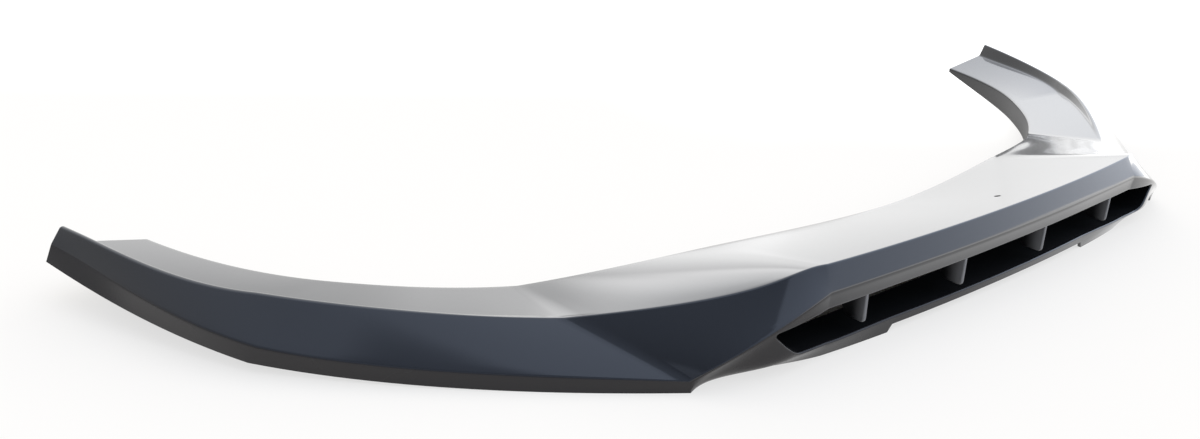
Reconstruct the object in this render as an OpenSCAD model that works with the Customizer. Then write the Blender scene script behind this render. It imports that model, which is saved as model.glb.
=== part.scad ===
// Front splitter lip: one moulded sheet with a raised centre, a slotted front and two swept arms.
// The car faces -Y, +X is the side of its left wheel, and the lip stands on the ground at Z = 0.

/* [Overall size] */
// Width across the two arm ends
lip_width = 1844; // [1700:1:1980]
// Depth from the front edge to the arm ends
lip_depth = 652; // [600:1:740]
// Height of the raised centre above the ground
front_height = 104; // [98:1:120]
// Thickness of the moulded sheet
sheet = 4; // [3:0.5:5]

/* [Raised centre] */
// Half width of the straight raised front
front_half = 291; // [270:1:310]
// Depth of the shelf in the middle
shelf_depth = 178; // [150:1:200]
// Drop of the chamfer band under the front fold
band_drop = 27; // [18:1:32]
// How far the chamfer band leans forward
band_lean = 10; // [4:1:16]
// How far the front face leans back down to the ground
face_lean = 8; // [2:1:14]
// Height of the inner rim in the middle
rim_middle = 51; // [40:1:60]

/* [Corner facets] */
// Half distance between the two corner tips at the ground
tip_half = 445; // [430:1:460]
// How far the corner tips stand behind the front edge
tip_back = 45; // [35:1:60]
// Height of the outer fold at the corner tips
tip_height = 14; // [10:1:22]
// Half distance between the fold vertices
vertex_half = 512; // [500:1:525]
// How far the fold vertices stand behind the front edge
vertex_back = 163; // [150:1:175]
// Height of the fold vertices
vertex_height = 50; // [46:1:60]
// Share of the front face under its crease that stands upright around the slot's ends
upright_share = 0.66; // [0.56:0.02:0.76]

/* [Arms] */
// Height of the inner rim along the arms
rim_height = 35; // [28:1:42]
// Height of the shelf beside the winglet at the elbow
foot_elbow = 50; // [44:1:54]
// Height of the shelf beside the winglet at the arm end
foot_end = 58; // [52:1:64]
// Height of the winglet at the elbow
wing_elbow = 65; // [60:1:72]
// Height of the winglet at the arm end
wing_end = 81; // [74:1:95]
// Thickness of the winglet along its top
wing_top = 4.5; // [4:0.5:6]
// Height of the outer fold at the elbow
fold_elbow = 30; // [24:1:36]
// Height of the outer fold at the arm end
fold_end = 64; // [56:1:68]
// Height of the outer lower edge at the elbow
edge_elbow = 11; // [4:1:16]
// Height of the outer lower edge at the arm end
edge_end = 45; // [36:1:50]
// Height of the inner rim's wall at the arm end
rim_end_wall = 7; // [6:1:20]

/* [Front slot] */
// Half width of the slot from tip to tip
slot_half = 370; // [355:1:376]
// Height of the slot's top edge in the middle
slot_top = 60; // [54:1:64]
// Height of the slot's bottom edge in the middle
slot_bottom = 18; // [15:1:24]
// Depth of the duct behind the slot
duct_depth = 46; // [40:1:60]
// Thickness of the duct walls
duct_wall = 3; // [2:0.5:4]
// Number of ribs in the slot
rib_count = 4; // [2:2:6]
// Distance between the ribs
rib_pitch = 160; // [120:1:168]
// Thickness of a rib
rib_thick = 5; // [4:0.5:7]
// Gap between the ribs' feet and the slot's bottom edge
rib_gap = 9; // [6:1:14]
// How far the ribs stand behind the front fold
rib_setback = 2; // [1.5:0.5:8]
// Depth of a rib at its root
rib_root = 38; // [32:1:42]
// Depth of a rib at its foot
rib_foot = 26; // [20:1:32]

/* [Lower edge] */
// Half width of the raised lower edge
notch_half = 190; // [150:1:230]
// Height of the raised lower edge
notch_height = 9; // [5:1:12]

/* [Fixing hole] */
// Diameter of the fixing hole in the shelf
hole_d = 8; // [6:0.5:10]
// Distance of the fixing hole from the middle
hole_x = 53; // [30:1:70]
// Distance of the fixing hole behind the front edge
hole_back = 58; // [40:1:70]

/* [Hidden] */
yf = -lip_depth / 2;
yb = lip_depth / 2;
xe = lip_width / 2;

// Rails of the loft, four spans each: front, corner, arm to the elbow, elbow to the arm end
inner_edge = [
  [[0, yf + shelf_depth, rim_middle], [90, yf + shelf_depth + 2, rim_middle - 1],
   [180, yf + shelf_depth + 19, rim_middle - 1], [260, yf + shelf_depth + 34, rim_middle - 2]],
  [[260, yf + shelf_depth + 34, rim_middle - 2], [334, yf + shelf_depth + 48, rim_middle - 3],
   [424, yf + shelf_depth + 56, rim_middle - 3], [vertex_half - 12, yf + vertex_back + 117, rim_height]],
  [[vertex_half - 12, yf + vertex_back + 117, rim_height], [569, yf + 315, rim_height],
   [xe - 301, yf + 364, rim_height], [xe - 252, yb - 238, rim_height]],
  [[xe - 252, yb - 238, rim_height], [xe - 187, yb - 170, rim_height],
   [xe - 145, yb - 87, rim_height], [xe - 112, yb, rim_height]]
];
top_fold = [
  [[0, yf + band_lean, front_height], [100, yf + band_lean, front_height],
   [200, yf + band_lean + 4, front_height], [front_half, yf + band_lean + 13, front_height]],
  [[front_half, yf + band_lean + 13, front_height],
   [front_half + 54, yf + band_lean + 19, front_height - 7],
   [vertex_half - 65, yf + vertex_back - 52, vertex_height + 14],
   [vertex_half, yf + vertex_back, vertex_height]],
  [[vertex_half, yf + vertex_back, vertex_height], [601, yf + 221, vertex_height + 2],
   [xe - 234, yf + 283, wing_elbow - 3], [xe - 165, yb - 288, wing_elbow]],
  [[xe - 165, yb - 288, wing_elbow], [xe - 95, yb - 214, wing_elbow],
   [xe - 61, yb - 113, wing_end - 4], [xe - 22, yb - 22, wing_end]]
];
outer_fold = [
  [[0, yf, front_height - band_drop], [100, yf, front_height - band_drop],
   [200, yf + 4, front_height - band_drop], [front_half + 4, yf + 11, front_height - band_drop]],
  [[front_half + 4, yf + 11, front_height - band_drop],
   [front_half + 39, yf + 8, front_height - band_drop - 4],
   [tip_half - 45, yf + 12, tip_height + 32], [tip_half + 2, yf + tip_back - 1, tip_height]],
  [[tip_half + 2, yf + tip_back - 1, tip_height], [559, yf + 130, tip_height + 3],
   [xe - 240, yf + 214, tip_height + 4], [xe - 149, yb - 335, fold_elbow]],
  [[xe - 149, yb - 335, fold_elbow], [xe - 75, yb - 241, fold_elbow + 15],
   [xe - 55, yb - 126, fold_end - 12], [xe - 9, yb - 26, fold_end]]
];
ground_edge = [
  [[0, yf + face_lean, 0], [100, yf + face_lean, 0],
   [200, yf + face_lean + 3, 0], [front_half - 1, yf + face_lean + 13, 0]],
  [[front_half - 1, yf + face_lean + 13, 0], [front_half + 54, yf + face_lean + 22, 0],
   [tip_half - 40, yf + tip_back + 20, 0], [tip_half, yf + tip_back, 0]],
  [[tip_half, yf + tip_back, 0], [564, yf + 124, 0],
   [xe - 238, yf + 220, 0], [xe - 140, yb - 326, edge_elbow]],
  [[xe - 140, yb - 326, edge_elbow], [xe - 83, yb - 241, edge_elbow + 10],
   [xe - 42, yb - 143, edge_end - 14], [xe, yb - 28, edge_end]]
];
// Height of the inner rim's lower edge along each span
rim_foot = [[0, 0, 0, 0], [0, 0, 0, 0], [0, 0, 0, 0], [0, 0, 8, rim_height - rim_end_wall]];
// Height of the shelf at the winglet's foot along the two arm spans
foot_height = [[vertex_height - 0.5, vertex_height, foot_elbow, foot_elbow],
               [foot_elbow, foot_end - 1, foot_end - 3, foot_end]];
// Width of the winglet's foot at the front, the corner, the vertex, the elbow and the arm end
foot_width = [6, 6, 6, 11, 14];
// Place and depth of the faint crease in the front face
crease_drop = 11;
crease_depth = 2;
// Share of the front span at which the face starts to stand upright, and of the corner span at which that fades
upright_start = 0.6;
upright_fade = 0.35;
// Rounding of the folds on the outer side and on the hidden side, and how much wider the cove is
fold_round = 3;
inner_round = 0.4;
cove_share = 2;
slot_round = 4;
rib_round = 4;
// Sections of the loft in each span
steps = [10, 12, 11, 11];

function bezier(c, t) =
  pow(1 - t, 3) * c[0] + 3 * t * pow(1 - t, 2) * c[1] + 3 * t * t * (1 - t) * c[2] + pow(t, 3) * c[3];
function mix(a, b, t) = a + (b - a) * t;
function clamp01(v) = max(0, min(1, v));
function smooth(v) = pow(clamp01(v), 2) * (3 - 2 * clamp01(v));
function unit(v) = v / norm(v);
function flat(v) = [v[0], v[1], 0];

// Point v moved sideways by a share of the way to the upright line through f
function under(f, v, share) = mix(v, [f[0], f[1], v[2]], share);

// Corner points of one section, from the inner rim's foot over the shelf to the outer ground edge
function corners(s, t) =
  let (
    b = bezier(inner_edge[s], t),
    e = bezier(top_fold[s], t),
    f = bezier(outer_fold[s], t),
    g = bezier(ground_edge[s], t),
    inward = unit(flat(b - e)),
    slope = (e[2] - b[2]) / norm(flat(b - e)),
    width = mix(foot_width[s], foot_width[s + 1], t),
    foot_z = s < 2 ? e[2] - slope * width : bezier(foot_height[s - 2], t),
    wall = clamp01((e[2] - foot_z - 2) / 6),
    top = s < 2 ? wing_top - 0.5 : wing_top - 0.5 * (1 - wall),
    c = flat(e + inward * width) + [0, 0, foot_z],
    d = flat(e + inward * top) + [0, 0, mix(e[2] - slope * top, e[2], wall)],
    crease = s == 0 ? crease_depth : s == 1 ? crease_depth * (1 - t) : 0,
    stand = s == 0 ? smooth((t - upright_start) / (1 - upright_start))
          : s == 1 ? 1 - smooth((t - upright_fade) / (1 - upright_fade)) : 0,
    k = under(f, mix(f, g, crease_drop / norm(g - f)), stand) - unit(flat(f - b)) * crease,
    m = under(f, mix(k, g, upright_share), stand)
  )
  [[b[0], b[1], bezier(rim_foot[s], t)], b, mix(b, c, 0.25), mix(b, c, 0.5), mix(b, c, 0.75),
   c, d, e, f, k, m, g];
IB = 1;
IC = 5;
ID = 6;
IE = 7;
IF = 8;
IG = 11;

// Outward normal of the strip between corners j and j + 1
function strip_normal(s, t, j) =
  let (
    p = corners(s, t),
    q = corners(s, t + (t < 0.5 ? 0.01 : -0.01)),
    along = (t < 0.5 ? 1 : -1) * ((q[j] + q[j + 1]) - (p[j] + p[j + 1])),
    across = p[j + 1] - p[j]
  )
  unit(cross(across, along));
function mitre(p, m, n) = p - sheet * (m + n) / (1 + m * n);

// Share of the way from e to f at which the face's inner side meets the inner side of another face through c
function meets(e, f, face, c, other) =
  ((c - sheet * other) - (e - sheet * face)) * other / ((f - e) * other);

// The same corners on the hidden side of the sheet. The winglet is hollow wherever it is wide enough.
function inner_corners(s, t) =
  let (
    p = corners(s, t),
    n = [for (j = [0:IG - 1]) strip_normal(s, t, j)],
    shelf = n[IC - 1],
    flank = n[IC],
    face = n[IE],
    at_shelf = meets(p[IE], p[IF], face, p[IC], shelf),
    at_flank = meets(p[IE], p[IF], face, p[IC], flank),
    hollow = clamp01((at_shelf - at_flank) * norm(p[IF] - p[IE]) / 6),
    e = p[IE] - sheet * face + min(at_shelf, at_flank) * (p[IF] - p[IE]),
    c = mix(p[IC] - sheet * shelf, mitre(p[IC], shelf, flank), hollow)
  )
  [for (j = [0:IG])
    j == 0 ? p[j] - sheet * unit(flat(n[0]))
    : j == IG ? p[j] - sheet * unit(flat(n[IG - 1]))
    : j == IC ? c
    : j == ID ? mix(c, e, mix(0.5, 0.85, hollow))
    : j == IE ? e
    : mitre(p[j], n[j - 1], n[j])];

// A corner as three points of a small round, at most the given size
function rounded(p, j, size) =
  let (
    r = min(size, 0.3 * norm(p[j] - p[j - 1]), 0.3 * norm(p[j + 1] - p[j])),
    a = p[j] + r * unit(p[j - 1] - p[j]),
    z = p[j] + r * unit(p[j + 1] - p[j])
  )
  [a, 0.25 * a + 0.5 * p[j] + 0.25 * z, z];
function chain(p, size) =
  concat([p[0]], rounded(p, IB, size), [p[2], p[3], p[4]], rounded(p, IC, cove_share * size),
         rounded(p, ID, size), rounded(p, IE, size), rounded(p, IF, size), [p[IF + 1], p[IF + 2], p[IG]]);

function mirrored(pts) = [for (p = pts) [-p[0], p[1], p[2]]];
function half_stations(last) =
  concat([for (s = [0:last]) for (i = [0:steps[s] - 1]) [s, i / steps[s]]], [[last, 1]]);
function both_sides(rows) =
  concat([for (i = [len(rows) - 1:-1:1]) mirrored(rows[i])], rows);
function flatten(rows) = [for (r = rows) for (p = r) p];
// Two triangles for each cell of a grid of rows and columns that starts at point k
function grid(rows, cols, k, turned) =
  [for (i = [0:rows - 2]) for (j = [0:cols - 2])
    let (a = k + i * cols + j, b = a + 1, c = b + cols, d = a + cols)
    each (turned ? [[a, c, b], [a, d, c]] : [[a, b, c], [a, c, d]])];
// Two triangles for each cell of the strip that joins two point lists of the same length
function strip(p, q) =
  [for (i = [0:len(p) - 2]) each [[p[i], p[i + 1], q[i + 1]], [p[i], q[i + 1], q[i]]]];

// The moulded sheet, open underneath and at the arm ends
module shell() {
  at = half_stations(3);
  outer = both_sides([for (a = at) chain(corners(a[0], a[1]), fold_round)]);
  inner = both_sides([for (a = at) chain(inner_corners(a[0], a[1]), inner_round)]);
  rows = len(outer);
  cols = len(outer[0]);
  k = rows * cols;
  rim = [for (i = [0:rows - 1]) i * cols];
  front = [for (i = [0:rows - 1]) i * cols + cols - 1];
  first = [for (j = [0:cols - 1]) j];
  last = [for (j = [0:cols - 1]) (rows - 1) * cols + j];
  faces = concat(
    grid(rows, cols, 0, true), grid(rows, cols, k, false),
    strip(rim, [for (v = rim) v + k]), strip([for (v = front) v + k], front),
    strip([for (v = first) v + k], first), strip(last, [for (v = last) v + k]));
  polyhedron(flatten(concat(outer, inner)), [for (f = faces) [f[0], f[2], f[1]]], 10);
}

// Everything under the centre's outer surface, down to the ground
module core() {
  at = half_stations(1);
  outer = both_sides([for (a = at) chain(corners(a[0], a[1]), fold_round)]);
  rows = len(outer);
  cols = len(outer[0]);
  rim = [for (i = [0:rows - 1]) i * cols];
  front = [for (i = [0:rows - 1]) i * cols + cols - 1];
  first = [for (j = [0:cols - 1]) j];
  last = [for (j = [cols - 1:-1:0]) (rows - 1) * cols + j];
  faces = concat(grid(rows, cols, 0, true), strip(rim, front));
  polyhedron(flatten(outer), concat([for (f = faces) [f[0], f[2], f[1]]], [first, last]), 10);
}

// Outline of the slot seen from the front
module slot_outline() {
  side = [[front_half + 2, slot_top - 1], [slot_half - 3, slot_top - 9], [slot_half - 22, slot_bottom + 13],
          [slot_half - 36, slot_bottom + 3], [slot_half - 90, slot_bottom + 1]];
  offset(r = slot_round, $fn = 32) offset(delta = -slot_round)
    polygon(concat([[0, slot_top]], side, [[0, slot_bottom]],
                   [for (i = [len(side) - 1:-1:0]) [-side[i][0], side[i][1]]]));
}

// Places a front outline upright, from y1 back to y2
module upright(y1, y2) {
  translate([0, y2, 0]) rotate([90, 0, 0]) linear_extrude(y2 - y1) children();
}

module duct() {
  intersection() {
    core();
    upright(yf - 10, yf + band_lean + duct_depth) offset(r = duct_wall, $fn = 32) slot_outline();
  }
}

// One blade that hangs in the duct from its roof, deep at its root and narrow at its foot
module rib(x) {
  y = yf + band_lean * abs(x) / front_half + rib_setback;
  root_z = slot_top + duct_wall / 2;
  foot_z = slot_bottom + rib_gap;
  translate([x - rib_thick / 2, 0, 0]) rotate([90, 0, 90]) linear_extrude(rib_thick)
    difference() {
      offset(r = rib_round, $fn = 24) offset(delta = -rib_round)
        polygon([[y, root_z + rib_round], [y, foot_z], [y + rib_foot, foot_z],
                 [y + rib_root, root_z - rib_round], [y + rib_root, root_z + rib_round]]);
      translate([y - 1, root_z]) square([rib_root + 2, rib_round + 1]);
    }
}

module lower_notch() {
  upright(yf - 10, yf + band_lean + duct_depth)
    polygon([[-notch_half - 6, -1], [-notch_half, notch_height], [notch_half, notch_height],
             [notch_half + 6, -1]]);
}

module fixing_hole() {
  tilt = atan((front_height - rim_middle) / (shelf_depth - band_lean));
  z = front_height - (hole_back - band_lean) * tan(tilt);
  translate([hole_x, yf + hole_back, z]) rotate([-tilt, 0, 0])
    cylinder(h = 6 * sheet, d = hole_d, center = true, $fn = 48);
}

module splitter_lip() {
  color([0.09, 0.1, 0.12]) union() {
    difference() {
      union() {
        shell();
        duct();
      }
      upright(yf - 20, yf + band_lean + duct_depth + 1) slot_outline();
      lower_notch();
      fixing_hole();
    }
    for (i = [0:rib_count - 1]) rib((i - (rib_count - 1) / 2) * rib_pitch);
  }
}

splitter_lip();
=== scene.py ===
import math

import bmesh
import bpy
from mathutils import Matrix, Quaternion, Vector


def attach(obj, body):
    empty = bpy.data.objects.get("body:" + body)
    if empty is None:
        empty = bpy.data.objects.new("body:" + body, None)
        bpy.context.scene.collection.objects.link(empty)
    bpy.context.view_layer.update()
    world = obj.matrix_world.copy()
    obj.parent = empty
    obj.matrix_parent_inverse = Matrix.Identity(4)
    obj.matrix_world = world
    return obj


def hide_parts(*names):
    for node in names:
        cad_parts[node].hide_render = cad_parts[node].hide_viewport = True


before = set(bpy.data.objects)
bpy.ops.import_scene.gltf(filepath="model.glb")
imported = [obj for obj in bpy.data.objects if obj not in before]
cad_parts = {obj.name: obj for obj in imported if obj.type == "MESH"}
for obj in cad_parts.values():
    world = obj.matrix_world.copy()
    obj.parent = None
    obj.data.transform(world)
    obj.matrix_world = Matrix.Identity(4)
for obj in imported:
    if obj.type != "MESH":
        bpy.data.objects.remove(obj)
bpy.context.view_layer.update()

MM = 0.001
LIP_WIDTH, LIP_DEPTH, FRONT_HEIGHT, SHEET = 1844, 652, 104, 4
YF, YB, XE = -LIP_DEPTH / 2, LIP_DEPTH / 2, LIP_WIDTH / 2


# Camera at the photograph's viewing angle, in metres and degrees
CAMERA_PLACE, CAMERA_TILT, CAMERA_HEADING = (-0.938, -0.833, 0.485), 22.5, 35
SENSOR_WIDTH, LENS_LENGTH = 36, 27


def set_camera():
    data = bpy.data.cameras.new("photo_camera")
    data.sensor_width = SENSOR_WIDTH
    data.lens = LENS_LENGTH
    camera = bpy.data.objects.new("photo_camera", data)
    bpy.context.scene.collection.objects.link(camera)
    camera.location = CAMERA_PLACE
    camera.rotation_euler = (math.radians(90 - CAMERA_TILT), 0, math.radians(-CAMERA_HEADING))
    bpy.context.scene.camera = camera


# Rails of the lip in millimetres, four spans each: front, corner, arm to the elbow, elbow to the arm end.
# They are the solid's own, but for the top fold before the corner, which bends up to 5 mm away from it.
FRONT_HALF, SHELF_DEPTH, BAND_DROP, BAND_LEAN, FACE_LEAN = 291, 178, 27, 10, 8
RIM_MIDDLE, RIM_HEIGHT, RIM_END = 51, 35, 28
TIP_HALF, TIP_BACK, TIP_HEIGHT = 445, 45, 14
VERTEX_HALF, VERTEX_BACK, VERTEX_HEIGHT = 512, 163, 50
FOOT_ELBOW, FOOT_END, WING_ELBOW, WING_END, WING_TOP = 50, 58, 65, 81, 4.5
FOLD_ELBOW, FOLD_END, EDGE_ELBOW, EDGE_END = 30, 64, 11, 45
BAND_FOOT = FRONT_HEIGHT - BAND_DROP

INNER_EDGE = (
    ((0, YF + SHELF_DEPTH, RIM_MIDDLE), (90, YF + SHELF_DEPTH + 2, RIM_MIDDLE - 1),
     (180, YF + SHELF_DEPTH + 19, RIM_MIDDLE - 1), (260, YF + SHELF_DEPTH + 34, RIM_MIDDLE - 2)),
    ((260, YF + SHELF_DEPTH + 34, RIM_MIDDLE - 2), (334, YF + SHELF_DEPTH + 48, RIM_MIDDLE - 3),
     (424, YF + SHELF_DEPTH + 56, RIM_MIDDLE - 3), (VERTEX_HALF - 12, YF + VERTEX_BACK + 117, RIM_HEIGHT)),
    ((VERTEX_HALF - 12, YF + VERTEX_BACK + 117, RIM_HEIGHT), (569, YF + 315, RIM_HEIGHT),
     (XE - 301, YF + 364, RIM_HEIGHT), (XE - 252, YB - 238, RIM_HEIGHT)),
    ((XE - 252, YB - 238, RIM_HEIGHT), (XE - 187, YB - 170, RIM_HEIGHT),
     (XE - 145, YB - 87, RIM_HEIGHT), (XE - 112, YB, RIM_HEIGHT)),
)
TOP_FOLD = (
    ((0, YF + BAND_LEAN, FRONT_HEIGHT), (100, YF + BAND_LEAN, FRONT_HEIGHT),
     (200, YF + BAND_LEAN + 4, FRONT_HEIGHT), (FRONT_HALF, YF + BAND_LEAN + 13, FRONT_HEIGHT)),
    ((FRONT_HALF, YF + BAND_LEAN + 13, FRONT_HEIGHT), (FRONT_HALF + 47, YF + BAND_LEAN + 28, FRONT_HEIGHT),
     (VERTEX_HALF - 174, YF + VERTEX_BACK - 139, VERTEX_HEIGHT + 31),
     (VERTEX_HALF, YF + VERTEX_BACK, VERTEX_HEIGHT)),
    ((VERTEX_HALF, YF + VERTEX_BACK, VERTEX_HEIGHT), (601, YF + 221, VERTEX_HEIGHT + 2),
     (XE - 234, YF + 283, WING_ELBOW - 3), (XE - 165, YB - 288, WING_ELBOW)),
    ((XE - 165, YB - 288, WING_ELBOW), (XE - 95, YB - 214, WING_ELBOW),
     (XE - 61, YB - 113, WING_END - 4), (XE - 22, YB - 22, WING_END)),
)
OUTER_FOLD = (
    ((0, YF, BAND_FOOT), (100, YF, BAND_FOOT),
     (200, YF + 4, BAND_FOOT), (FRONT_HALF + 4, YF + 11, BAND_FOOT)),
    ((FRONT_HALF + 4, YF + 11, BAND_FOOT), (FRONT_HALF + 39, YF + 8, BAND_FOOT - 4),
     (TIP_HALF - 45, YF + 12, TIP_HEIGHT + 32), (TIP_HALF + 2, YF + TIP_BACK - 1, TIP_HEIGHT)),
    ((TIP_HALF + 2, YF + TIP_BACK - 1, TIP_HEIGHT), (559, YF + 130, TIP_HEIGHT + 3),
     (XE - 240, YF + 214, TIP_HEIGHT + 4), (XE - 149, YB - 335, FOLD_ELBOW)),
    ((XE - 149, YB - 335, FOLD_ELBOW), (XE - 75, YB - 241, FOLD_ELBOW + 15),
     (XE - 55, YB - 126, FOLD_END - 12), (XE - 9, YB - 26, FOLD_END)),
)
GROUND_EDGE = (
    ((0, YF + FACE_LEAN, 0), (100, YF + FACE_LEAN, 0),
     (200, YF + FACE_LEAN + 3, 0), (FRONT_HALF - 1, YF + FACE_LEAN + 13, 0)),
    ((FRONT_HALF - 1, YF + FACE_LEAN + 13, 0), (FRONT_HALF + 54, YF + FACE_LEAN + 22, 0),
     (TIP_HALF - 40, YF + TIP_BACK + 20, 0), (TIP_HALF, YF + TIP_BACK, 0)),
    ((TIP_HALF, YF + TIP_BACK, 0), (564, YF + 124, 0),
     (XE - 238, YF + 220, 0), (XE - 140, YB - 326, EDGE_ELBOW)),
    ((XE - 140, YB - 326, EDGE_ELBOW), (XE - 83, YB - 241, EDGE_ELBOW + 10),
     (XE - 42, YB - 143, EDGE_END - 14), (XE, YB - 28, EDGE_END)),
)
RIM_FOOT = ((0, 0, 0, 0), (0, 0, 0, 0), (0, 0, 0, 0), (0, 0, 8, RIM_END))
SHELF_FOOT = (None, None, (VERTEX_HEIGHT - 0.5, VERTEX_HEIGHT, FOOT_ELBOW, FOOT_ELBOW),
              (FOOT_ELBOW, FOOT_END - 1, FOOT_END - 3, FOOT_END))
FOOT_WIDTH = (6, 6, 6, 11, 14)
WING_LEAN, WALL_START, WALL_FADE = 0.5, 2, 6
NOTCH_HEIGHT, NOTCH_START, NOTCH_END = 9, 0.64, 0.66
CREASE_DROP, CREASE_DEPTH = 11, 2
BELLY_START, BELLY_FADE, BELLY_SHARE = 0.6, 0.35, 0.66
HOLLOW_FADE, FLAT_SHARE, HOLLOW_SHARE = 6, 0.5, 0.85

# Places of the corners in one section, where the shelf is four strips wide
SHELF_STRIPS = 4
RIM, COVE, WING_IN, WING_OUT, FOLD, CREASE, BELLY, GROUND = 1, 5, 6, 7, 8, 9, 10, 11


def cubic(c, t):
    return c[0] * (1 - t) ** 3 + c[1] * (3 * t * (1 - t) ** 2) + c[2] * (3 * t * t * (1 - t)) + c[3] * t ** 3


def on_rail(rail, span, t):
    return cubic([Vector(p) for p in rail[span]], t)


def mix(a, b, t):
    return a + (b - a) * t


def between(a, z, cells):
    return [mix(a, z, i / cells) for i in range(1, cells)]


def clamp01(v):
    return max(0.0, min(1.0, v))


def smooth(v):
    return clamp01(v) ** 2 * (3 - 2 * clamp01(v))


def level(v):
    return Vector((v.x, v.y, 0))


# Corner points of one section, from the inner rim's foot over the shelf to the outer ground edge
def corners(span, t):
    b, e = on_rail(INNER_EDGE, span, t), on_rail(TOP_FOLD, span, t)
    f, g = on_rail(OUTER_FOLD, span, t), on_rail(GROUND_EDGE, span, t)
    inward = level(b - e).normalized()
    slope = (e.z - b.z) / level(b - e).length
    width = mix(FOOT_WIDTH[span], FOOT_WIDTH[span + 1], t)
    foot_z = e.z - slope * width if span < 2 else cubic(SHELF_FOOT[span], t)
    wall = clamp01((e.z - foot_z - WALL_START) / WALL_FADE)
    top = WING_TOP - WING_LEAN * (1 if span < 2 else 1 - wall)
    c = level(e + inward * width) + Vector((0, 0, foot_z))
    d = level(e + inward * top) + Vector((0, 0, mix(e.z - slope * top, e.z, wall)))
    crease = (CREASE_DEPTH, CREASE_DEPTH * (1 - t), 0, 0)[span]
    grows, fades = ((t - start) / (1 - start) for start in (BELLY_START, BELLY_FADE))
    belly = (smooth(grows), 1 - smooth(fades), 0, 0)[span]
    k = mix(f, g, CREASE_DROP / (g - f).length)
    k = mix(k, Vector((f.x, f.y, k.z)), belly) - level(f - b).normalized() * crease
    m = mix(k, g, BELLY_SHARE)
    m = mix(m, Vector((f.x, f.y, m.z)), belly)
    if span == 0:
        lift = NOTCH_HEIGHT * clamp01((NOTCH_END - t) / (NOTCH_END - NOTCH_START))
        g = mix(g, m, lift / m.z)
    a = Vector((b.x, b.y, cubic(RIM_FOOT[span], t)))
    return [a, b] + between(b, c, SHELF_STRIPS) + [c, d, e, f, k, m, g]


# Outward normal of the strip between corners j and j + 1, from two sections a small step apart
NORMAL_STEP = 0.01


def strip_normal(span, t, j):
    step = NORMAL_STEP if t < 0.5 else -NORMAL_STEP
    p, q = corners(span, t), corners(span, t + step)
    along = ((q[j] + q[j + 1]) - (p[j] + p[j + 1])) * (1 if step > 0 else -1)
    return (p[j + 1] - p[j]).cross(along).normalized()


def mitre(p, m, n):
    return p - (m + n) * (SHEET / (1 + m.dot(n)))


# Share of the way from e to f at which the face's inner side meets another inner side through c
def meets(e, f, face, c, other):
    return ((c - other * SHEET) - (e - face * SHEET)).dot(other) / (f - e).dot(other)


# The same corners on the hidden side of the sheet
def inner_corners(span, t):
    p = corners(span, t)
    n = [strip_normal(span, t, j) for j in range(GROUND)]
    shelf, flank, face = n[COVE - 1], n[COVE], n[WING_OUT]
    at_shelf = meets(p[WING_OUT], p[FOLD], face, p[COVE], shelf)
    at_flank = meets(p[WING_OUT], p[FOLD], face, p[COVE], flank)
    hollow = clamp01((at_shelf - at_flank) * (p[FOLD] - p[WING_OUT]).length / HOLLOW_FADE)
    e = p[WING_OUT] - face * SHEET + (p[FOLD] - p[WING_OUT]) * min(at_shelf, at_flank)
    c = mix(p[COVE] - shelf * SHEET, mitre(p[COVE], shelf, flank), hollow)
    out = [mitre(p[j], n[j - 1], n[j]) if 0 < j < GROUND else p[j] for j in range(GROUND + 1)]
    out[0] = p[0] - level(n[0]).normalized() * SHEET
    out[GROUND] = p[GROUND] - level(n[GROUND - 1]).normalized() * SHEET
    out[COVE], out[WING_OUT], out[WING_IN] = c, e, mix(c, e, mix(FLAT_SHARE, HOLLOW_SHARE, hollow))
    return out


# A corner as a small round that takes up less than half of the flats beside it
ROUND_SHARE = 0.45


def rounded(p, j, size, cells):
    r = min(size, ROUND_SHARE * (p[j] - p[j - 1]).length, ROUND_SHARE * (p[j + 1] - p[j]).length)
    a = p[j] + (p[j - 1] - p[j]).normalized() * r
    z = p[j] + (p[j + 1] - p[j]).normalized() * r
    return [mix(mix(a, p[j], i / cells), mix(p[j], z, i / cells), i / cells) for i in range(cells + 1)]


# Cells across each flat and each round of one section
WALL_CELLS, SHELF_CELLS, FLANK_CELLS, BAND_CELLS, FACE_CELLS, FOOT_CELLS = 3, 16, 4, 8, 5, 3
ROUND_CELLS, WING_IN_CELLS, CREASE_CELLS = 4, 3, 2
OUTER_ROUND, INNER_ROUND = 3, 0.4

# Points of one section: the inner rim's wall, counted from its foot. Then, counted back from the ground,
# those up to the middle of the front fold's round, and a few more, among which the slot is cut.
RIM_WALL = WALL_CELLS + ROUND_CELLS // 2 + 1
UNDER_FOLD = -(FOOT_CELLS + ROUND_CELLS + FACE_CELLS + CREASE_CELLS + ROUND_CELLS // 2 + 2)
SLOT_FACE = UNDER_FOLD - ROUND_CELLS


# One section as a fine chain of points: flats in cells and folds as rounds
def chain(p, size):
    rim, cove, wing_out, fold = (rounded(p, j, size, ROUND_CELLS) for j in (RIM, COVE, WING_OUT, FOLD))
    wing_in = rounded(p, WING_IN, size, WING_IN_CELLS)
    crease, belly = rounded(p, CREASE, 2 * size, CREASE_CELLS), rounded(p, BELLY, 3 * size, ROUND_CELLS)
    return ([p[0]] + between(p[0], rim[0], WALL_CELLS) + rim + between(rim[-1], cove[0], SHELF_CELLS)
            + cove + between(cove[-1], wing_in[0], FLANK_CELLS) + wing_in + wing_out
            + between(wing_out[-1], fold[0], BAND_CELLS) + fold + crease
            + between(crease[-1], belly[0], FACE_CELLS) + belly
            + between(belly[-1], p[GROUND], FOOT_CELLS) + [p[GROUND]])


# Places of the sheet's materials, the turn from which an edge is sharp, and distances that count as none
PAINT, SHADE_PAINT, PLASTIC, DUCT_SHADE = range(4)
SHARP_ANGLE = math.radians(32)
CUT_REACH, TINY, CLOSE = 1e-4, 1e-3, 0.01


def in_metres(bm):
    bmesh.ops.scale(bm, vec=(MM, MM, MM), verts=bm.verts)


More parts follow.
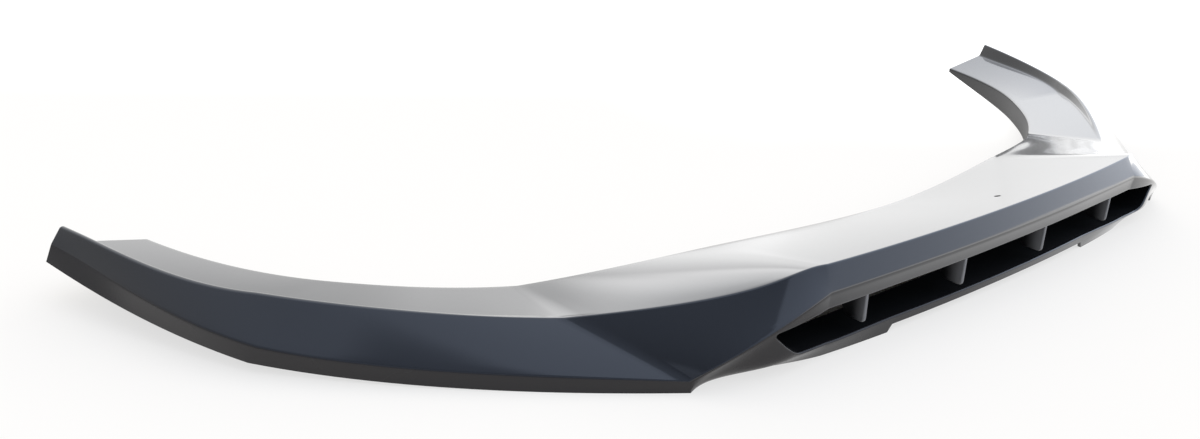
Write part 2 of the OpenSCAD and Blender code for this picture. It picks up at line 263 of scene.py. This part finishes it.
def finished(name, bm, materials):
    for e in bm.edges:
        e.smooth = e.calc_face_angle(0) < SHARP_ANGLE
    mesh = bpy.data.meshes.new(name)
    bm.to_mesh(mesh)
    bm.free()
    mesh.shade_smooth()
    for material in materials:
        mesh.materials.append(material)
    piece = bpy.data.objects.new(name, mesh)
    bpy.context.scene.collection.objects.link(piece)
    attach(piece, "root")
    return piece


# Places along the lip where the sections stand: even cells in each span, but a close pair at the notch's end
SPAN_CELLS, NOTCH_CELL = (24, 32, 24, 24), 16
STATIONS = [(span, t / cells) for span, cells in enumerate(SPAN_CELLS) for t in range(cells)] + [(3, 1.0)]
STATIONS[NOTCH_CELL:NOTCH_CELL + 1] = [(0, NOTCH_START), (0, NOTCH_END)]


# A flat grid of cells pressed into the form that the sections give
def pressed_grid(bm, rows):
    made = bmesh.ops.create_grid(bm, x_segments=len(rows[0]) - 1, y_segments=len(rows) - 1, size=0.5)["verts"]
    lines = [[None] * len(rows[0]) for _ in rows]
    for v in made:
        i = round((v.co.y + 0.5) * (len(rows) - 1))
        j = round((v.co.x + 0.5) * (len(rows[0]) - 1))
        v.co = rows[i][j]
        lines[i][j] = v
    return lines


def edges_along(verts):
    return [a.link_edges[[e.other_vert(a) for e in a.link_edges].index(b)] for a, b in zip(verts, verts[1:])]


# Outline of the slot's right half seen from the front, in X and Z, from the top middle to the bottom middle
SLOT_HALF, SLOT_TOP, SLOT_BOTTOM, DUCT_END, DUCT_WALL = 370, 60, 18, YF + BAND_LEAN + 46, 3
SLOT_ROUND, SLOT_ROUND_CELLS, SLOT_LIP, SLOT_LIP_CELLS, SLOT_MARGIN = 8, 4, 2, 4, 30
SLOT_CORNERS = ((0, SLOT_TOP), (FRONT_HALF + 2, SLOT_TOP - 1), (SLOT_HALF - 3, SLOT_TOP - 9),
                (SLOT_HALF - 22, SLOT_BOTTOM + 13), (SLOT_HALF - 36, SLOT_BOTTOM + 3),
                (SLOT_HALF - 90, SLOT_BOTTOM + 1), (0, SLOT_BOTTOM))


def slot_outline(round_size):
    p = [Vector((x, 0, z)) for x, z in SLOT_CORNERS]
    out = [p[0]]
    for j in range(1, len(p) - 1):
        out += rounded(p, j, round_size, SLOT_ROUND_CELLS)
    return out + [p[-1]]


# Outward direction in the plane of a closed or half outline that runs clockwise
def side_normals(outline):
    return [Vector((-(q.z - p.z), 0, q.x - p.x)).normalized() for p, q in zip(outline, outline[1:])]


# Cuts a convex window into faces, side by side, and returns the edges around it
def cut_window(bm, faces, sides):
    inside = list(faces)
    for spot, n in sides:
        verts = {v for f in inside for v in f.verts}
        edges = {e for f in inside for e in f.edges}
        cut = bmesh.ops.bisect_plane(bm, geom=list(verts) + list(edges) + inside,
                                     dist=CUT_REACH, plane_co=spot, plane_no=n)
        inside = [f for f in cut["geom"] if isinstance(f, bmesh.types.BMFace)
                  and (f.calc_center_median() - spot).dot(n) < 0]
    chosen = set(inside)
    border = [e for e in {e for f in inside for e in f.edges}
              if len(e.link_faces) == 2 and len([f for f in e.link_faces if f in chosen]) == 1]
    bmesh.ops.delete(bm, geom=inside, context="FACES")
    return border


# Inward direction at a point near the outline
def inward_at(co, outline):
    total = Vector((0, 0, 0))
    for p, q, n in zip(outline, outline[1:], side_normals(outline)):
        side = q - p
        share = clamp01((Vector((co.x, 0, co.z)) - p).dot(side) / side.length_squared)
        gap = (Vector((co.x, 0, co.z)) - p - side * share).length
        total -= n / (gap * gap + TINY)
    if abs(co.x) < TINY:
        total.x = 0
    return total.normalized()


# Draws the border of a window inwards and back as a round lip, and on to the duct's end
def draw_duct(bm, border, outline, radius, cells):
    start = {v: v.co.copy() for e in border for v in e.verts}
    source = {v: v for v in start}
    way = {v: inward_at(v.co, outline) for v in start}
    edges = border
    for i in range(1, cells + 2):
        made = bmesh.ops.extrude_edge_only(bm, edges=edges)["geom"]
        fresh = [g for g in made if isinstance(g, bmesh.types.BMVert)]
        new = set(fresh)
        parent = {}
        for v in fresh:
            old = [e.other_vert(v) for e in v.link_edges if e.other_vert(v) not in new]
            parent[v] = source[old[0]]
        turn = math.radians(90) * min(i, cells) / max(cells, 1)
        for v in fresh:
            origin = parent[v]
            shaded_back = Vector((0, radius * (1 - math.cos(turn)), 0))
            v.co = start[origin] + way[origin] * radius * math.sin(turn) + shaded_back
            # The duct's walls back to its end take the near-black painted shade
            if i > cells:
                v.co.y = DUCT_END
                for f in v.link_faces:
                    f.material_index = DUCT_SHADE
        source = parent
        edges = [e for e in {e for v in fresh for e in v.link_edges} if all(v in new for v in e.verts)]
    return edges


# The fixing hole through the shelf, square to it
HOLE_MIDDLE, HOLE_AXIS = Vector((53, -268.6, 86.95)), Vector((0, 0.3009, 0.95365))
HOLE_RADIUS, HOLE_SIDES, HOLE_REACH = 4, 24, 20


def drill_hole(bm):
    across = HOLE_AXIS.orthogonal().normalized()
    ways = [across.copy() for _ in range(HOLE_SIDES)]
    for i, way in enumerate(ways):
        way.rotate(Quaternion(HOLE_AXIS, math.tau * i / HOLE_SIDES))
    sides = [(HOLE_MIDDLE + way * HOLE_RADIUS, way) for way in ways]
    near = [f for f in bm.faces if (f.calc_center_median() - HOLE_MIDDLE).length < HOLE_REACH]
    rings = []
    for side in (1, -1):
        skin = [f for f in near if 0 < side * (f.calc_center_median() - HOLE_MIDDLE).dot(HOLE_AXIS) < SHEET]
        rings += cut_window(bm, skin, sides)
    # The hole's wall takes the near-black painted shade
    for f in bmesh.ops.bridge_loops(bm, edges=rings)["faces"]:
        f.material_index = DUCT_SHADE


# Orders the elements by their places, because some mesh steps return them in another order each run
def put_in_order(bm):
    for elements, middle in ((bm.verts, lambda v: v.co), (bm.faces, lambda f: f.calc_center_median()),
                             (bm.edges, lambda e: e.verts[0].co + e.verts[1].co)):
        for i, item in enumerate(sorted(elements, key=lambda item: tuple(middle(item)))):
            item.index = i
        elements.sort()


# The moulded sheet: outer and hidden side, their edges, the slot with its duct, and the other half
def moulded_sheet():
    bm = bmesh.new()
    outer = pressed_grid(bm, [chain(corners(s, t), OUTER_ROUND) for s, t in STATIONS])
    rim_wall = {v for row in outer for v in row[:RIM_WALL]}
    under_fold = {v for row in outer for v in row[UNDER_FOLD:]}
    # Faces under the front fold take the black paint with painted shade
    for f in bm.faces:
        f.material_index = (PLASTIC if rim_wall.issuperset(f.verts)
                            else SHADE_PAINT if under_fold.issuperset(f.verts) else PAINT)
    outside = set(bm.faces)
    inner = pressed_grid(bm, [chain(inner_corners(s, t), INNER_ROUND) for s, t in STATIONS])
    for f in bm.faces:
        if f not in outside:
            f.material_index = PLASTIC
    for pick in (lambda g: [row[0] for row in g], lambda g: [row[-1] for row in g], lambda g: g[-1]):
        bmesh.ops.bridge_loops(bm, edges=edges_along(pick(outer)) + edges_along(pick(inner)))

    outline = slot_outline(SLOT_ROUND)
    duct_ends = []
    for lines, grow, radius, cells in ((outer, SLOT_LIP, SLOT_LIP, SLOT_LIP_CELLS), (inner, DUCT_WALL, 0, 0)):
        front = {f for row in lines for v in row[SLOT_FACE:] for f in v.link_faces
                 if v.co.x < SLOT_HALF + SLOT_MARGIN}
        side = {v for row in lines for v in row}
        front = [f for f in front if all(v in side for v in f.verts)]
        sides = [(p + n * grow, n) for p, n in zip(outline, side_normals(outline))]
        border = cut_window(bm, front, sides)
        duct_ends += draw_duct(bm, border, outline, radius, cells)
    bmesh.ops.bridge_loops(bm, edges=duct_ends)

    for v in bm.verts:
        if abs(v.co.x) < CLOSE:
            v.co.x = 0
    bmesh.ops.mirror(bm, geom=bm.verts[:] + bm.edges[:] + bm.faces[:], axis="X", merge_dist=TINY)
    bmesh.ops.remove_doubles(bm, verts=bm.verts, dist=2 * TINY)
    drill_hole(bm)
    bmesh.ops.recalc_face_normals(bm, faces=bm.faces)
    put_in_order(bm)
    return bm


# Blades that hang in the duct
BLADE_COUNT, BLADE_PITCH, BLADE_THICK, BLADE_ROOT, BLADE_FOOT = 4, 160, 5, 38, 26
BLADE_GAP, BLADE_SETBACK, FRONT_ROUND, BACK_ROUND, FOOT_ROUND_CELLS = 9, 2, 5, 6, 5
BLADE_EDGE, EDGE_CELLS = 1.4, 3


def blade(x):
    y = YF + BAND_LEAN * abs(x) / FRONT_HALF + BLADE_SETBACK
    root, foot = SLOT_TOP + DUCT_WALL / 2, SLOT_BOTTOM + BLADE_GAP
    p = [Vector((0, *c)) for c in ((y, root), (y, foot), (y + BLADE_FOOT, foot), (y + BLADE_ROOT, root))]
    front, shaded_back = rounded(p, 1, FRONT_ROUND, FOOT_ROUND_CELLS), rounded(p, 2, BACK_ROUND, FOOT_ROUND_CELLS)
    bm = bmesh.new()
    near_side = Vector((x - BLADE_THICK / 2, 0, 0))
    face = bm.faces.new([bm.verts.new(v + near_side) for v in [p[0]] + front + shaded_back + [p[3]]])
    made = bmesh.ops.extrude_face_region(bm, geom=[face])["geom"]
    far_side = [g for g in made if isinstance(g, bmesh.types.BMVert)]
    bmesh.ops.translate(bm, vec=(BLADE_THICK, 0, 0), verts=far_side)
    rims = [e for e in bm.edges if abs(e.verts[0].co.x - e.verts[1].co.x) < CLOSE]
    bmesh.ops.bevel(bm, geom=rims, affect="EDGES", offset=BLADE_EDGE, segments=EDGE_CELLS,
                    profile=0.5, material=-1)
    bmesh.ops.recalc_face_normals(bm, faces=bm.faces)
    return bm


# Materials
class Value:
    def __init__(self, tree, socket):
        self.tree, self.socket = tree, socket

    def __add__(self, other):
        return self.tree.math("ADD", self, other)

    def __radd__(self, other):
        return self.tree.math("ADD", other, self)

    def __sub__(self, other):
        return self.tree.math("SUBTRACT", self, other)

    def __rsub__(self, other):
        return self.tree.math("SUBTRACT", other, self)

    def __mul__(self, other):
        return self.tree.math("MULTIPLY", self, other)

    def __rmul__(self, other):
        return self.tree.math("MULTIPLY", other, self)


class NodeTree:
    def __init__(self, owner):
        owner.use_nodes = True
        self.tree = owner.node_tree
        self.tree.nodes.clear()

    def node(self, kind, settings, sockets, out=0):
        made = self.tree.nodes.new(kind)
        for name, value in settings.items():
            if name == "stops":
                self.set_stops(made.color_ramp, value)
            else:
                setattr(made, name, value)
        for name, value in sockets.items():
            if isinstance(value, Value):
                self.tree.links.new(value.socket, made.inputs[name])
            else:
                made.inputs[name].default_value = value
        return Value(self, made.outputs[out]) if len(made.outputs) else made

    def set_stops(self, ramp, stops):
        for element, (place, level) in zip(ramp.elements, (stops[0], stops[-1])):
            element.position, element.color = place, (level, level, level, 1)
        for place, level in stops[1:-1]:
            ramp.elements.new(place).color = (level, level, level, 1)

    def math(self, operation, a, b):
        return self.node("ShaderNodeMath", {"operation": operation}, {0: a, 1: b})

    def noise(self, place, scale, detail):
        return self.node("ShaderNodeTexNoise", {}, {"Vector": place, "Scale": scale, "Detail": detail}, "Fac")

    def mixed(self, factor, a, b):
        return self.node("ShaderNodeMix", {"data_type": "RGBA"}, {0: factor, 6: a, 7: b}, 2)

    def step(self, value, start, end):
        return self.node("ShaderNodeMapRange", {"interpolation_type": "SMOOTHSTEP"},
                         {"Value": value, "From Min": start, "From Max": end})

    def vector_math(self, operation, a, b, out=0):
        return self.node("ShaderNodeVectorMath", {"operation": operation}, {0: a, 1: b}, out)


# Black paint under clear lacquer: two close blacks, a faint orange peel and cloudy patches of polish.
# Under the front fold the lacquer is left off and the black is duller and warmer, a painted shade for the dim
# floor these faces reflect, but for the right side. Above the slot the lacquer is thin.
DARK_PAINT, PALE_PAINT = (0.008, 0.009, 0.011, 1), (0.013, 0.014, 0.018, 1)
# Colour where the lacquer is left off: a painted shade, a dull warm black
SHADE_PAINT_COLOUR = (0.022, 0.0195, 0.0195, 1)
PAINT_GLOSS, CLOUDED, SHADE_PAINT_ROUGH, COAT_GLOSS, PAINT_IOR = 0.07, 0.06, 0.17, 0.03, 1.4
ABOVE_SLOT_COAT, WAVY = 0.8, 0.006
ABOVE_SLOT, SLOT_SIDE, RIGHT_SIDE = (0.032, 0.056), (-0.33, -0.27), (-0.1, 0.2)

# Scale and detail of the paint's noises
PEEL_NOISE, CLOUD_NOISE, SPECK_NOISE = (260.0, 2.0), (5.0, 3.0), (900.0, 1.0)


def gloss_black(name, with_painted_shade):
    material = bpy.data.materials.new(name)
    tree = NodeTree(material)
    place = tree.node("ShaderNodeTexCoord", {}, {}, "Object")
    peel = tree.noise(place, *PEEL_NOISE)
    cloud = tree.noise(place, *CLOUD_NOISE)
    pigment = tree.mixed(tree.noise(place, *SPECK_NOISE), DARK_PAINT, PALE_PAINT)
    bump = tree.node("ShaderNodeBump", {}, {"Height": peel, "Strength": 0.02, "Distance": 0.0004})
    roughness, lacquer = PAINT_GLOSS + CLOUDED * cloud, 1.0
    # Painted shade: a mask of where the lacquer stays, with a duller, warmer black under the front fold
    if with_painted_shade:
        x, z = (tree.node("ShaderNodeSeparateXYZ", {}, {0: place}, name) for name in "XZ")
        above_slot = ABOVE_SLOT_COAT * tree.step(z + WAVY * cloud, *ABOVE_SLOT) * tree.step(x, *SLOT_SIDE)
        lacquer = tree.math("MAXIMUM", above_slot, tree.step(x, *RIGHT_SIDE))
        roughness = roughness + SHADE_PAINT_ROUGH * (1 - lacquer)
        pigment = tree.mixed(lacquer, SHADE_PAINT_COLOUR, pigment)
    shade = tree.node("ShaderNodeBsdfPrincipled", {}, {
        "Base Color": pigment, "Roughness": roughness, "IOR": PAINT_IOR, "Coat Weight": lacquer,
        "Coat Roughness": COAT_GLOSS, "Coat IOR": PAINT_IOR, "Normal": bump})
    tree.node("ShaderNodeOutputMaterial", {}, {"Surface": shade})
    return material


# Unpainted moulded plastic with a fine grain, for the blades, the inner rim's wall and the hidden side.
# Its grey at the very front, where the blades stand in the light, is painted light, and the black further
# back is painted shade.
DARK_LIT_GREY, PALE_LIT_GREY = (0.15, 0.147, 0.147, 1), (0.185, 0.182, 0.182, 1)
PAINTED_SHADE_BLACK, LIT_TO_SHADE_FADE = (0.006, 0.006, 0.007, 1), (-0.318, -0.298)
GRAIN_NOISE, LIT_GREY_NOISE, SATIN_ROUGH, GRAIN_ROUGH, PLASTIC_IOR = (700.0, 2.0), (30.0, 2.0), 0.38, 0.1, 1.5


def satin_black():
    material = bpy.data.materials.new("satin_moulded_plastic")
    tree = NodeTree(material)
    place = tree.node("ShaderNodeTexCoord", {}, {}, "Object")
    grain = tree.noise(place, *GRAIN_NOISE)
    pigment = tree.mixed(tree.noise(place, *LIT_GREY_NOISE), DARK_LIT_GREY, PALE_LIT_GREY)
    # Painted light and shade: grey at the very front, black further back in the duct
    shaded_back = tree.step(tree.node("ShaderNodeSeparateXYZ", {}, {0: place}, "Y"), *LIT_TO_SHADE_FADE)
    pigment = tree.mixed(shaded_back, pigment, PAINTED_SHADE_BLACK)
    bump = tree.node("ShaderNodeBump", {}, {"Height": grain, "Strength": 0.1, "Distance": 0.0002})
    shade = tree.node("ShaderNodeBsdfPrincipled", {}, {
        "Base Color": pigment, "Roughness": SATIN_ROUGH + GRAIN_ROUGH * grain,
        "IOR": PLASTIC_IOR, "Normal": bump})
    tree.node("ShaderNodeOutputMaterial", {}, {"Surface": shade})
    return material


# Bare matt plastic inside the duct and the fixing hole; its near-black colour is painted shade, as dark as it
# looks in there
DARK_DUCT_SHADE, PALE_DUCT_SHADE = (0.001, 0.001, 0.001, 1), (0.003, 0.003, 0.003, 1)
PATCH_NOISE, MATT_NOISE, MATT_ROUGH, MATT_SPREAD, MATT_IOR = (40.0, 2.0), (300.0, 2.0), 0.7, 0.1, 1.25


def duct_black():
    material = bpy.data.materials.new("duct_plastic_painted_shade")
    tree = NodeTree(material)
    place = tree.node("ShaderNodeTexCoord", {}, {}, "Object")
    pigment = tree.mixed(tree.noise(place, *PATCH_NOISE), DARK_DUCT_SHADE, PALE_DUCT_SHADE)
    roughness = MATT_ROUGH + MATT_SPREAD * tree.noise(place, *MATT_NOISE)
    shade = tree.node("ShaderNodeBsdfPrincipled", {}, {
        "Base Color": pigment, "Roughness": roughness, "IOR": MATT_IOR})
    tree.node("ShaderNodeOutputMaterial", {}, {"Surface": shade})
    return material


# Studio, with its sides named as the photo shows them: one wide soft light low at the right that fades to a
# dimmer wall at the left, grey and white cards at the back, and a dark screen near the camera.
# A stop is a place along the light's way and its brightness.
LIGHT_WAY = (0.893, 0.157, 0.423)
LIGHT_STOPS = ((-0.5, 0.42), (-0.2, 0.6), (-0.05, 0.73), (0.1, 0.9),
               (0.42, 1.15), (0.58, 1.3), (0.74, 1.55), (0.92, 2.0))
BRIGHTEST = 2.0
SCREEN_WAY, SCREEN_EDGE, SCREEN_SHADE = (-0.394, -0.354, 0.848), (0.942, 0.965), 0.5
COOL_WAY, COOL_START, COOL_LIGHT = (0, -0.45, 0.6), 0.25, (0.86, 1.0, 1.28, 1)

# Each card's way, the cosines at its rim and at its full middle, and what it adds to the light there
CARDS = (((0.866, 0.5, 0), 0.9455, 0.9986, -0.22), ((0.571, 0.816, 0.087), 0.985, 0.998, 0.13),
         ((0.298, 0.947, 0.122), 0.9925, 0.9994, -0.15), ((0.419, 0.86, 0.292), 0.9925, 0.9994, 0.15),
         ((0.537, 0.782, 0.317), 0.9877, 0.9986, 0.65))


def studio_light(tree, way):
    facing = tree.vector_math("DOT_PRODUCT", way, LIGHT_WAY, "Value")
    stops = [(0.5 + place / 2, level / BRIGHTEST) for place, level in LIGHT_STOPS]
    level = BRIGHTEST * tree.node("ShaderNodeValToRGB", {"stops": stops}, {0: 0.5 + 0.5 * facing})
    for card_way, rim, middle, change in CARDS:
        seen = tree.step(tree.vector_math("DOT_PRODUCT", way, card_way, "Value"), rim, middle)
        level = level * (1 + change * seen)
    return level


def seen_directly(tree):
    ray = [tree.node("ShaderNodeLightPath", {}, {}, name)
           for name in ("Is Camera Ray", "Is Glossy Ray", "Is Transmission Ray")]
    return tree.math("MAXIMUM", ray[0], tree.math("MAXIMUM", ray[1], ray[2]))


# Pale floor, which keeps a part of its shading near the lip. A painted pool of light makes it brighter
# towards the back and in front at its right, and it doesn't glow under the hollow behind the slot.
FLOOR_GLOW, FLOOR_LEVEL, FLOOR_COLOUR, FLOOR_SIZE = 0.65, 1.04, (0.95, 0.84, 0.69, 1), 30
FAR_WAY, FAR_FADE = (0.6, 0.8, 0), (0.25, 0.8)
FRONT_WAY, FRONT_FADE, FRONT_GLOW = (0.397, -0.918, 0), (0.52, 0.75), 0.9
HOLLOW_MIDDLE, HOLLOW_HALF = (0, -0.222, 0), (0.44, 0.048)


def floor_material():
    material = bpy.data.materials.new("pale_floor")
    tree = NodeTree(material)
    place = tree.node("ShaderNodeTexCoord", {}, {}, "Object")
    light = studio_light(tree, tree.vector_math("NORMALIZE", place, (0, 0, 0)))
    # Painted pool of light: the glow rises to the studio light far off at the back, and more is added in
    # front at the right
    far = tree.step(tree.vector_math("DOT_PRODUCT", place, FAR_WAY, "Value"), *FAR_FADE)
    strength = FLOOR_LEVEL + far * tree.math("MAXIMUM", light - FLOOR_LEVEL, 0.0)
    front = tree.step(tree.vector_math("DOT_PRODUCT", place, FRONT_WAY, "Value"), *FRONT_FADE)
    strength = strength + front * FRONT_GLOW
    aside = tree.vector_math("ABSOLUTE", tree.vector_math("SUBTRACT", place, HOLLOW_MIDDLE), (0, 0, 0))
    in_x, in_y = (tree.math("LESS_THAN", tree.node("ShaderNodeSeparateXYZ", {}, {0: aside}, name), half)
                  for name, half in zip("XY", HOLLOW_HALF))
    matt = tree.node("ShaderNodeBsdfDiffuse", {}, {"Color": FLOOR_COLOUR})
    bright = tree.node("ShaderNodeEmission", {}, {"Color": (1, 1, 1, 1), "Strength": strength})
    glow = tree.math("MAXIMUM", tree.math("MAXIMUM", far, front), FLOOR_GLOW)
    share = seen_directly(tree) * glow * (1 - in_x * in_y)
    both = tree.node("ShaderNodeMixShader", {}, {0: share, 1: matt, 2: bright})
    tree.node("ShaderNodeOutputMaterial", {}, {"Surface": both})
    return material


def studio():
    bm = bmesh.new()
    bmesh.ops.create_grid(bm, x_segments=1, y_segments=1, size=FLOOR_SIZE)
    mesh = bpy.data.meshes.new("studio_floor")
    bm.to_mesh(mesh)
    bm.free()
    mesh.materials.append(floor_material())
    floor = bpy.data.objects.new("studio_floor", mesh)
    bpy.context.scene.collection.objects.link(floor)
    world = bpy.data.worlds.new("studio_world")
    bpy.context.scene.world = world
    tree = NodeTree(world)
    way = tree.node("ShaderNodeTexCoord", {}, {}, "Generated")
    screen = tree.step(tree.vector_math("DOT_PRODUCT", way, SCREEN_WAY, "Value"), *SCREEN_EDGE)
    cool = tree.vector_math("DOT_PRODUCT", way, COOL_WAY, "Value") + COOL_START
    colour = tree.mixed(tree.step(cool, 0.0, 1.0), (1, 1, 1, 1), COOL_LIGHT)
    glow = tree.node("ShaderNodeBackground", {}, {
        "Color": colour, "Strength": studio_light(tree, way) * (1 - SCREEN_SHADE * screen)})
    tree.node("ShaderNodeOutputWorld", {}, {"Surface": glow})


bpy.context.scene.view_settings.view_transform = "Standard"
set_camera()
studio()
paint, shade_paint = gloss_black("gloss_black_paint", False), gloss_black("black_paint_painted_shade", True)
plastic, duct_shade_plastic = satin_black(), duct_black()
sheet = moulded_sheet()
in_metres(sheet)
lip = finished("lip_sheet", sheet, (paint, shade_paint, plastic, duct_shade_plastic))
even = lip.modifiers.new("even_normals", "WEIGHTED_NORMAL")
even.keep_sharp = True
for i in range(BLADE_COUNT):
    bm = blade((i - (BLADE_COUNT - 1) / 2) * BLADE_PITCH)
    in_metres(bm)
    finished(f"duct_blade_{i + 1}", bm, (plastic,))
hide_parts("splitter_lip")
